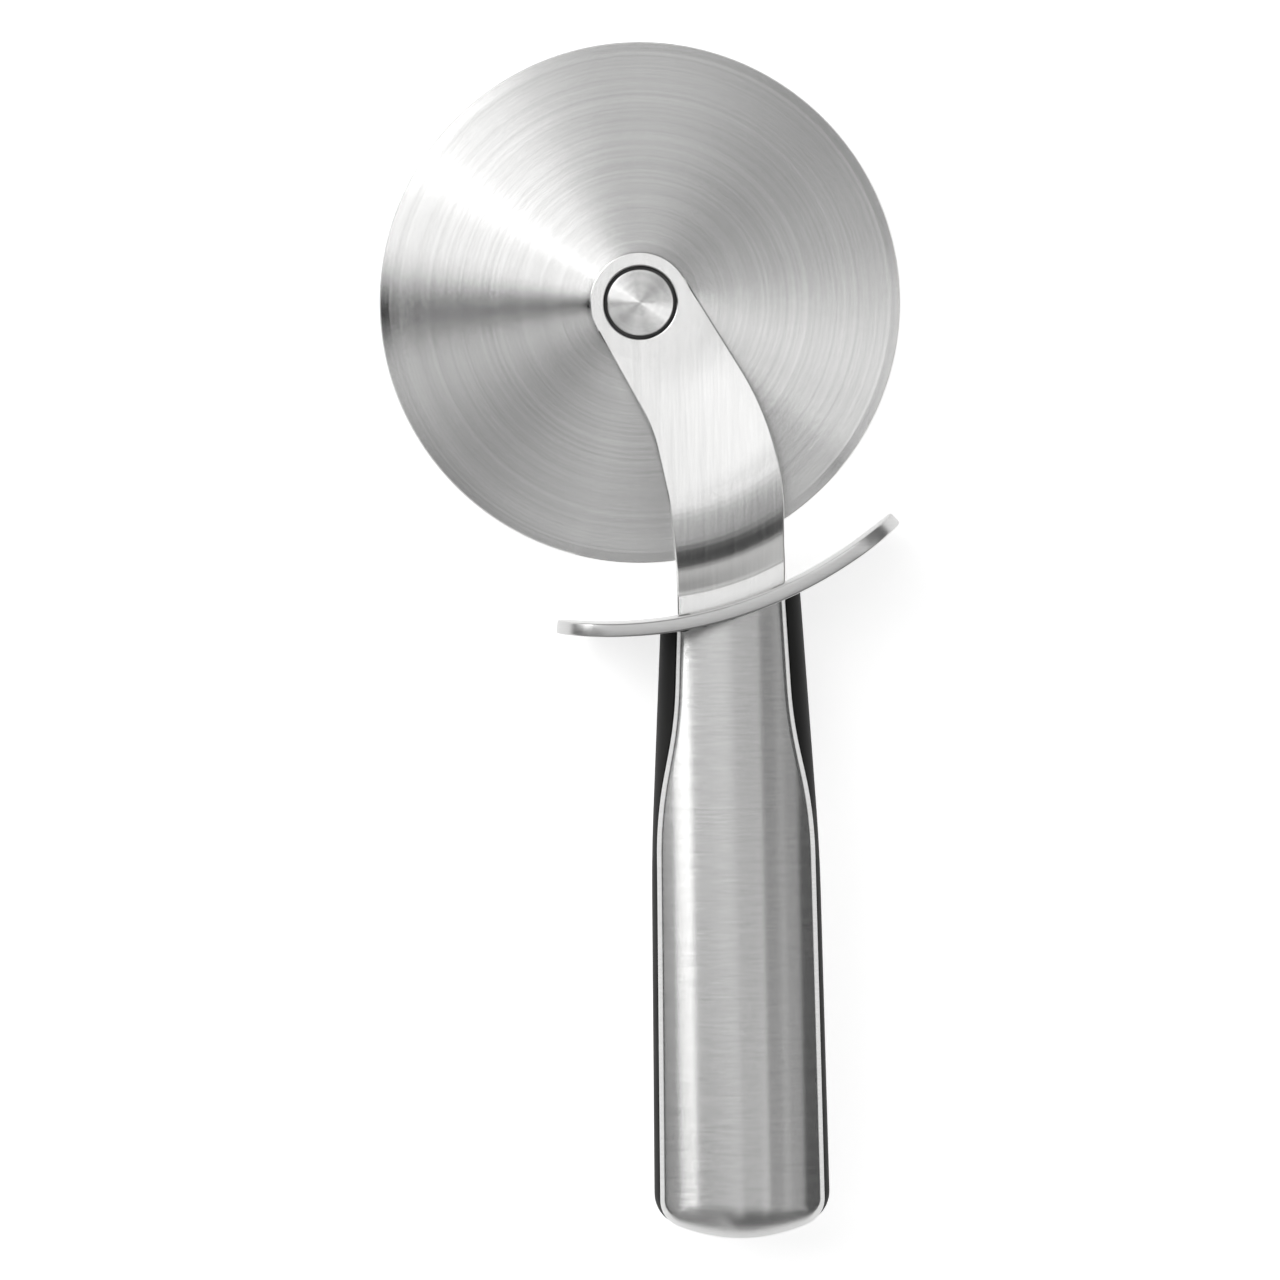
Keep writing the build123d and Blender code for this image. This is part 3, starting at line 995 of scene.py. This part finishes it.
@dataclass
class SteelShells(SubAssembly):
    """The two pressed shells of the handle. Sizes are millimetres.

    In plan its places are across the handle from its middle line, and along it from the hub. The
    shells are built with bmesh, because no operator gives their doubly curved sheet.
    """

    slot = "shell_steel"
    nodes = ("front_shell", "back_shell")
    wall: float = 0.9
    crown: float = 12.0
    crown_radius: float = 24.6
    belly_radius: float = 1137.0
    belly_reach: float = 138.6
    seam: float = 3.5
    roll: float = 2.9
    tail_roll: float = 7.3
    tail_depth: float = 7.5
    reach: float = 182.9
    neck: Point = (11.66, 81.5)
    neck_top: float = 50.0
    neck_slope: float = 2.6
    palm: Point = (15.37, 100.1)
    flare_bend: float = 85.0
    tail_half: float = 16.1
    tail_radius: float = 33.0
    tail_steps: int = 24
    tail_corner: float = 5.6
    corner_steps: int = 20
    guard_back: float = 85.4
    guard_gap: float = 0.2
    roll_steps: int = 14
    slope_step: float = 0.05
    first_depth: float = 0.4
    fits: int = 4
    neck_steps: int = 16
    cell: float = 1.3
    half_span: float = 17.0
    merge: float = 0.15

    def crown_height(self, x: float, y: float) -> float:
        """Gives the crown's height over the middle plane at a place across and along the handle."""
        across = self.belly_radius - self.crown_radius + sqrt(max(self.crown_radius**2 - x * x, 0.0))
        along = y + self.belly_reach
        return self.crown - self.belly_radius + sqrt(across * across - along * along)

    def crown_slope(self, x: float, y: float) -> Vector:
        """Gives how much the crown rises in a millimetre across and in one along the handle."""
        step = self.slope_step
        return Vector(((self.crown_height(x + step, y) - self.crown_height(x - step, y)) / (2 * step),
                       (self.crown_height(x, y + step) - self.crown_height(x, y - step)) / (2 * step)))

    def outline(self) -> Line:
        """Draws the shell's outline.

        Returns:
            Points from the neck down the right side, round the tail and up the left.
        """
        slope = tan(radians(self.neck_slope))
        centre = (0.0, self.tail_radius - self.reach)
        side = self.reach - self.tail_radius + sqrt(self.tail_radius**2 - self.tail_half**2)
        lean = atan2(self.tail_half - self.palm[0], side - self.palm[1])
        inset = (self.palm[0] - self.tail_corner * cos(lean), -self.palm[1] - self.tail_corner * sin(lean))
        way = (sin(lean), -cos(lean))
        far = (inset[0] - centre[0], inset[1] - centre[1])
        along = -(way[0] * far[0] + way[1] * far[1])
        span = self.tail_radius - self.tail_corner
        along += sqrt(span**2 - (far[0] ** 2 + far[1] ** 2 - along**2))
        knuckle = (inset[0] + way[0] * along, inset[1] + way[1] * along)
        touch = atan2(knuckle[1] - centre[1], knuckle[0] - centre[0])
        corner = arc(knuckle, self.tail_corner, lean, touch, self.corner_steps)
        end = arc(centre, self.tail_radius, touch, -pi / 2, self.tail_steps)[1:]
        sides = [(self.neck[0] - slope * (self.neck[1] - self.neck_top), -self.neck_top),
                 (self.neck[0], -self.neck[1]), (self.palm[0], -self.palm[1]), corner[0]]
        chain = round_corners(sides, [self.flare_bend, self.flare_bend], 1.0)[:-1] + corner + end
        spaced = self.respaced(chain)
        right = [p for p in spaced if not self.behind_guard(p)]
        left = [(-x, y) for x, y in spaced[:-1] if not self.behind_guard((-x, y))]
        return [self.on_guard(right[0][0]), *right, *left[::-1], self.on_guard(left[0][0])]

    def behind_guard(self, point: Point) -> bool:
        """Says whether a point of the outline would lie inside the guard or beyond it."""
        x, y = point[0] + HANDLE_OFFSET - GUARD_CENTRE[0], point[1] - GUARD_CENTRE[1]
        return hypot(x, y) < self.guard_back + self.guard_gap

    def on_guard(self, x: float) -> Point:
        """Gives the point of the guard's back face at a place across the handle."""
        across = x + HANDLE_OFFSET - GUARD_CENTRE[0]
        return (x, GUARD_CENTRE[1] - sqrt(self.guard_back**2 - across * across))

    @staticmethod
    def respaced(chain: Line, pitch: float = 1.0) -> Line:
        """Spaces points evenly along a chain, and keeps its last point.

        Args:
            chain: The points to follow.
            pitch: The distance between the new points.

        Returns:
            The new points.
        """
        spaced, ahead = [chain[0]], pitch
        for (x0, y0), (x1, y1) in zip(chain, chain[1:]):
            length = hypot(x1 - x0, y1 - y0)
            while ahead <= length:
                spaced.append((x0 + (x1 - x0) * ahead / length, y0 + (y1 - y0) * ahead / length))
                ahead += pitch
            ahead -= length
        if dist(spaced[-1], chain[-1]) <= pitch / 3:
            spaced.pop()
        return [*spaced, chain[-1]]

    @staticmethod
    def inward(points: Line) -> list[Vector]:
        """Gives the direction into the shell, square to the outline, at each of its points."""
        neighbours = zip([points[0], *points[:-1]], [*points[1:], points[-1]])
        return [Vector((after[1] - before[1], before[0] - after[0])).normalized()
                for before, after in neighbours]

    def vertex(self, mesh: BMesh, x: float, y: float, z: float) -> bmesh.types.BMVert:
        """Adds a vertex across, along and over the handle."""
        return mesh.verts.new(from_hub(x + HANDLE_OFFSET, y, z))

    def rolled(self, point: Point, way: Vector) -> tuple[float, float, float, float]:
        """Fits the rim's roll to the crown above one point of the outline.

        The roll is widest at the middle of the tail, and it ends where it meets the crown's slope.

        Args:
            point: The point of the outline.
            way: The inward direction there.

        Returns:
            How far the roll reaches in and down, the crown's slope there and the crown's height.
        """
        (x, y), share = point, max(way.y, 0.0) ** 2
        roll = self.roll + (self.tail_roll - self.roll) * share
        depth = roll * self.first_depth
        for _ in range(self.fits):
            lean = atan(self.crown_slope(x + way.x * depth, y + way.y * depth).dot(way))
            depth = roll * (1 - sin(lean))
        top = self.crown_height(x + way.x * depth, y + way.y * depth)
        fall = min(self.roll + (self.tail_depth - self.roll) * share, (top - self.seam) / cos(lean))
        return roll, fall, lean, top

    def front(self) -> Object:
        """Builds the front shell: a rolled rim round the outline and a crown that fills it.

        Returns:
            The front shell.
        """
        points = self.outline()
        ways = self.inward(points)
        rolls = [self.rolled(point, way) for point, way in zip(points, ways)]
        mesh = bmesh.new()
        rings = [[self.vertex(mesh, x, y, self.seam) for x, y in points]]
        for step in range(self.roll_steps + 1):
            ring = []
            for (x, y), way, (roll, fall, lean, top) in zip(points, ways, rolls):
                turn = (pi / 2 - lean) * step / self.roll_steps
                inside = roll * (1 - cos(turn))
                px, py = x + way.x * inside, y + way.y * inside
                ring.append(self.vertex(mesh, px, min(py, self.on_guard(px)[1]),
                                        top - fall * (cos(lean) - sin(turn))))
            rings.append(ring)
        for first, second in zip(rings, rings[1:]):
            bridge(mesh, first, second)
        rim = rings[-1]
        left, right = ((v.co.x - HUB.x) / MM - HANDLE_OFFSET for v in (rim[-1], rim[0]))
        neck = [self.on_guard(left + (right - left) * i / self.neck_steps) for i in range(1, self.neck_steps)]
        mesh.faces.new(rim + [self.vertex(mesh, x, y, self.crown_height(x, y)) for x, y in neck])
        shell = object_from(mesh, "shell_front")
        self.cut_crown(shell)
        finish_mesh(shell, SHELL_SMOOTHING, self.merge)
        if sum(face.normal.z * face.area for face in shell.data.polygons) < 0:
            edit_all(shell, bpy.ops.mesh.flip_normals)
        add_modifier(shell, "SOLIDIFY", thickness=self.wall * MM, offset=-1.0, use_quality_normals=True)
        smooth(SHELL_SMOOTHING)
        return shell

    def cut_crown(self, shell: Object) -> None:
        """Cuts the crown into small cells and lifts them to the crown's height.

        Args:
            shell: The open shell, whose crown is its face with the most corners.
        """
        activate(shell)
        bpy.ops.object.mode_set(mode="EDIT")
        mesh = bmesh.from_edit_mesh(shell.data)
        cells = [max(mesh.faces, key=lambda face: len(face.verts))]
        low = Vector((HUB.x + (HANDLE_OFFSET - self.half_span) * MM, HUB.y - self.reach * MM, 0))
        spans = ((Vector((1, 0, 0)), 2 * self.half_span), (Vector((0, 1, 0)), self.reach - self.neck_top))
        for normal, span in spans:
            for i in range(1, int(span / self.cell) + 1):
                verts, edges = ({v for f in cells for v in f.verts}, {e for f in cells for e in f.edges})
                cut = bmesh.ops.bisect_plane(mesh, geom=[*verts, *edges, *cells], dist=1e-7,
                                             plane_co=low + normal * i * self.cell * MM, plane_no=normal)
                cells = [g for g in cut["geom"] if isinstance(g, bmesh.types.BMFace)]
        for vert in {v for f in cells for v in f.verts}:
            x, y = (vert.co.x - HUB.x) / MM - HANDLE_OFFSET, (vert.co.y - HUB.y) / MM
            vert.co.z = HUB.z + self.crown_height(x, y) * MM
        bmesh.update_edit_mesh(shell.data)
        bpy.ops.object.mode_set(mode="OBJECT")

    @staticmethod
    def mirrored(front: Object) -> Object:
        """Copies the front shell to the back, with its faces turned outwards again.

        Args:
            front: The front shell.

        Returns:
            The back shell.
        """
        back = front.copy()
        back.data = front.data.copy()
        back.name = "shell_back"
        bpy.context.scene.collection.objects.link(back)
        for vert in back.data.vertices:
            vert.co.z = 2 * HUB.z - vert.co.z
        edit_all(back, bpy.ops.mesh.flip_normals)
        return back

    def pieces(self) -> list[Object]:
        """Builds the front and the back shell."""
        front = self.front()
        return [front, self.mirrored(front)]


ALL_ROUND: Point = (-90.0, 90.0)


@dataclass(frozen=True)
class Panel:
    """A bright or dark patch of the studio's dome, with soft edges.

    Its place is x over z and y over z of the direction to it, so 1 is half way down to the table.
    """

    x: Point
    y: Point
    level: float
    soft_x: float = 0.1
    soft_y: float = 0.3


@dataclass(frozen=True)
class Streak:
    """A wedge of the dome that is brighter or darker, on one or both sides of the zenith."""

    bearing: float
    half_width: float
    gain: float
    one_sided: bool = False


@dataclass
class Studio:
    """Camera, floor and the plain studio round the cutter.

    The panels are its large soft lights, the streaks its wedges of light that a turned blade shows
    as rays, and the flags its dark cards. All of them are soft, and none is seen by itself.
    """

    distance: float = 2.4
    frame_width: float = 0.2499
    sensor: float = 36.0
    clip_end: float = 20.0
    lean: Point = (-0.010, 0.028)
    aim: Point = (-1.21, 0.21)
    roll: float = 0.0187
    floor_size: float = 6.0
    floor_glow: float = 0.6
    floor_roughness: float = 0.9
    floor_tones: Point = (0.92, 0.94)
    floor_mottle: float = 4.0
    slope: tuple[float, float, float, float] = (0.03, 0.5, 1.0, 0.64)
    panels: tuple[Panel, ...] = (
        Panel((0.49, 90.0), ALL_ROUND, 0.33, 0.03),
        Panel((0.85, 1.08), ALL_ROUND, 0.42, 0.08),
        Panel((-90.0, -1.75), ALL_ROUND, 1.1, 0.2),
        Panel((-1.68, -0.9), (-0.3, 2.2), 2.85, 0.09, 0.2),
    )
    plain: float = 0.76
    streaks: tuple[Streak, ...] = (
        Streak(146.0, 34.0, 0.58),
        Streak(146.0, 4.0, 0.5),
        Streak(12.0, 6.0, -0.12),
        Streak(20.0, 14.0, 0.12, True),
        Streak(113.0, 12.0, 0.14, True),
        Streak(156.0, 12.0, -0.34, True),
        Streak(180.5, 8.5, -1.15, True),
        Streak(342.0, 18.0, 1.24, True),
        Streak(1.0, 8.0, 0.68, True),
        Streak(321.0, 5.5, -0.55, True),
        Streak(222.0, 18.0, -0.36, True),
        Streak(270.0, 12.0, 0.95, True),
        Streak(290.0, 14.0, -0.5, True),
    )
    fall: tuple[float, float, float, float] = (-0.9, 0.0, 0.6, 1.0)
    flags: tuple[Panel, ...] = (
        Panel((1.8, 90.0), ALL_ROUND, 0.14, 0.12),
        Panel((-0.02, 0.4), (-0.65, -0.1), 0.22, 0.16, 0.2),
        Panel((-0.35, 90.0), (-90.0, -0.65), 0.22, 0.15, 0.08),
        Panel((-0.35, 90.0), (-1.25, -0.65), 0.03, 0.15, 0.08),
        Panel((-0.85, 90.0), (1.2, 90.0), 0.2, 0.1, 0.2),
    )
    lowest: float = 0.02
    horizon: Point = (0.12, 0.26)
    horizon_level: float = 0.05

    def camera(self) -> None:
        """Looks straight down through a long lens, leaning a little towards the wheel."""
        data = bpy.data.cameras.new("photo_camera")
        data.sensor_width = self.sensor
        data.lens = self.sensor * self.distance / self.frame_width
        data.clip_end = self.clip_end
        camera = bpy.data.objects.new("photo_camera", data)
        bpy.context.scene.collection.objects.link(camera)
        target = Vector((self.aim[0] * MM, self.aim[1] * MM, HUB.z))
        back = Vector((self.lean[0], self.lean[1], 1.0)).normalized()
        up = Vector((self.roll, 1.0, 0.0))
        side = up.cross(back).normalized()
        up = back.cross(side)
        camera.location = target + back * self.distance
        camera.rotation_mode = "QUATERNION"
        camera.rotation_quaternion = Matrix((side, up, back)).transposed().to_quaternion()
        bpy.context.scene.camera = camera

    def floor(self) -> None:
        """Lays the pale floor that the cutter lies on."""
        activate(None)
        bpy.ops.mesh.primitive_plane_add(size=self.floor_size, location=(0, 0, CAD_BOX[0][2]))
        floor = bpy.context.object
        floor.name = "floor"
        shader = Shader("pale_floor")
        mottle = shader.spread(shader.noise(shader.place(), self.floor_mottle), *self.floor_tones)
        for socket, value in (("Base Color", shader.scaled(WHITE, mottle)),
                              ("Roughness", self.floor_roughness), ("Emission Color", (*WHITE, 1.0)),
                              ("Emission Strength", self.floor_glow)):
            shader.feed(shader.bsdf.inputs[socket], value)
        floor.data.materials.append(shader.material)

    @staticmethod
    def covered(nodes: Nodes, level: object, place: tuple[object, object], panels: Iterable[Panel]) -> object:
        """Covers parts of the dome with panels.

        Args:
            nodes: The world's nodes.
            level: The brightness so far.
            place: The direction's x over z and y over z.
            panels: What to cover it with, in order.

        Returns:
            The brightness with the panels.
        """
        for panel in panels:
            inside: object = 1.0
            for value, (low, high), soft in zip(place, (panel.x, panel.y), (panel.soft_x, panel.soft_y)):
                start = nodes.ramp(value, low - soft, low + soft, 0.0, 1.0, True)
                stop = nodes.ramp(value, high - soft, high + soft, 1.0, 0.0, True)
                inside = nodes.math("MULTIPLY", inside, nodes.math("MULTIPLY", start, stop))
            gap = nodes.math("SUBTRACT", panel.level, level)
            level = nodes.math("MULTIPLY_ADD", inside, gap, level)
        return level

    def streaked(self, nodes: Nodes, flat: Socket) -> object:
        """Adds up the wedges of light round the zenith.

        Args:
            nodes: The world's nodes.
            flat: The level direction that is looked in.

        Returns:
            How bright the dome is that way, before its panels.
        """
        gain: object = self.plain
        for streak in self.streaks:
            bearing = radians(streak.bearing)
            dot = nodes.measure("DOT_PRODUCT", flat, (cos(bearing), sin(bearing), 0.0))
            side = nodes.math("MAXIMUM" if streak.one_sided else "ADD", dot, 0.0)
            square = nodes.math("MULTIPLY", side, side)
            power = log(0.5) / (2 * log(cos(radians(streak.half_width))))
            gain = nodes.math("MULTIPLY_ADD", nodes.math("POWER", square, power), streak.gain, gain)
        return gain

    def dome(self) -> None:
        """Lights the scene with a dome of soft panels and wedges."""
        world = bpy.data.worlds.new("studio")
        bpy.context.scene.world = world
        world.use_nodes = True
        nodes = Nodes(world.node_tree)
        x, y, z = nodes.split(nodes.node("ShaderNodeTexCoord").outputs["Generated"])
        gain = self.streaked(nodes, nodes.vector("NORMALIZE", nodes.combine(x, y, 0.0)))
        rise = nodes.math("MAXIMUM", z, self.lowest)
        place = nodes.math("DIVIDE", x, rise), nodes.math("DIVIDE", y, rise)
        level = self.covered(nodes, nodes.ramp(place[0], *self.slope), place, self.panels)
        level = nodes.math("MULTIPLY", nodes.math("MULTIPLY", level, gain), nodes.ramp(place[1], *self.fall))
        level = self.covered(nodes, level, place, self.flags)
        low = nodes.ramp(z, *self.horizon, 1.0, 0.0, True)
        level = nodes.math("MULTIPLY_ADD", low, nodes.math("SUBTRACT", self.horizon_level, level), level)
        light = nodes.node("ShaderNodeBackground", (nodes.scaled(WHITE, level),))
        nodes.node("ShaderNodeOutputWorld", light.outputs[:1])

    def build(self) -> None:
        """Sets up the view, the camera, the floor and the light."""
        bpy.context.scene.view_settings.view_transform = "Standard"
        self.camera()
        self.floor()
        self.dome()


def main() -> None:
    """Builds the pieces of the cutter in order and the studio round them."""
    logging.basicConfig(level=logging.INFO, format="%(message)s")
    blade_steel = BrushedSteel("blade_steel", Grain.ROUND, brightness=0.71, spread=0.6, roughness=0.2,
                               anisotropy=1.0, dish=0.18, contrast=0.07, scratch=1900.0).material()
    pin_steel = BrushedSteel("turned_steel", Grain.ROUND, brightness=0.8, spread=0.5, roughness=0.2,
                             anisotropy=1.0, contrast=0.06, scratch=1900.0).material()
    arm_steel = BrushedSteel("arm_steel", Grain.ALONG, brightness=0.88, spread=0.12, anisotropy=0.6,
                             contrast=0.05, scratch=2200.0, stretch=25.0).material()
    guard_steel = BrushedSteel("guard_steel", Grain.ACROSS, brightness=0.6, spread=0.15, roughness=0.3,
                               anisotropy=0.0).material()
    shell_steel = BrushedSteel("shell_steel", Grain.ACROSS, brightness=0.61, spread=0.2, dish=0.08,
                               contrast=0.06, scratch=2200.0, stretch=12.0).material()
    # Dark grey plastic painted as shade into the counterbore's gap and on the side of the pin's head, where
    # the steel lies in shadow.
    painted_shade_groove = Moulded("painted_shade_groove", (0.15, 0.15, 0.15), 0.5).material()
    soft_grip = Moulded("soft_grip", (0.018, 0.01782, 0.01746), 0.55, tones=(0.8, 1.25), gloss=(-0.05, 0.07),
                        mottle=(60.0, 3.0), texture=(9000.0, 2.0), relief=0.25, specular=0.16).material()
    bearing = Moulded("bearing_plastic", (0.72, 0.71, 0.68)).material()
    core = Moulded("core_plastic", (0.03, 0.03, 0.03)).material()
    CutterWheel().place(blade_steel)
    AxlePin().place(pin_steel, painted_shade_groove)
    NeckArm().place(arm_steel, painted_shade_groove)
    FingerGuard().place(guard_steel)
    SteelShells().place(shell_steel)
    carried = {
        "side_grip": soft_grip,
        "handle_core_front": core,
        "handle_core_back": core,
        "blade_bushing": bearing,
        "front_thrust_washer": bearing,
        "rear_thrust_washer": bearing,
        "axle_rear_cap": pin_steel,
        "tang_pins": pin_steel,
    }
    for node, material in carried.items():
        dress(frame["nodes"][node], material)
        LOG.info("%s keeps its packed shape", node)
    Studio().build()


if __name__ == "__main__":
    main()
